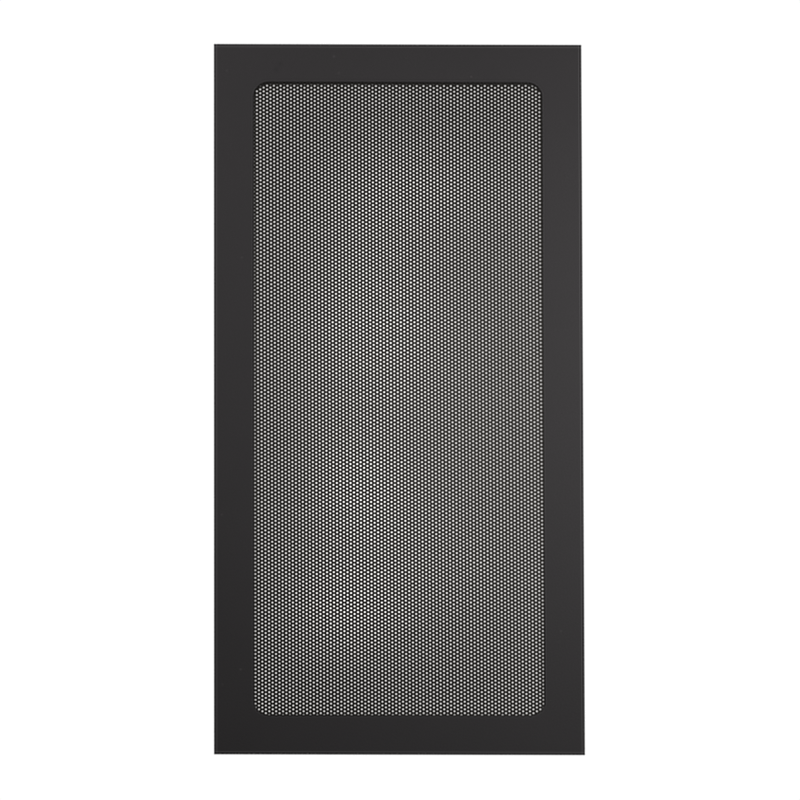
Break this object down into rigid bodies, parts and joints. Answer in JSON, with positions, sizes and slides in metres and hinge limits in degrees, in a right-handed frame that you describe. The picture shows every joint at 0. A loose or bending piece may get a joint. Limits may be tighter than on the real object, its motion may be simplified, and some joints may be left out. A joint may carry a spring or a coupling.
{
  "type": "fan dust filter",
  "caption": "Flat magnetic dust filter for computer case fans: matt black frame with a rounded window over a finely perforated black mesh, with magnet strips behind.",
  "frame": {"origin": "centre of the outline, on the plane of the magnet strips' underside", "axes": "+X across the filter, +Y along its length towards the end that is up in use, +Z out of the face of the frame"},
  "size_m": [0.12, 0.24, 0.0015],
  "materials": {
    "matt_pvc": "fine matt black",
    "perforated_pvc": "black, slight sheen",
    "magnet_rubber": "dull dark brown-black"
  },
  "bodies": {
    "root": {"cover_frame": "matt_pvc", "filter_mesh": "perforated_pvc", "side_magnet_left": "magnet_rubber", "side_magnet_right": "magnet_rubber", "end_magnet_top": "magnet_rubber", "end_magnet_bottom": "magnet_rubber"}
  },
  "joints": []
}
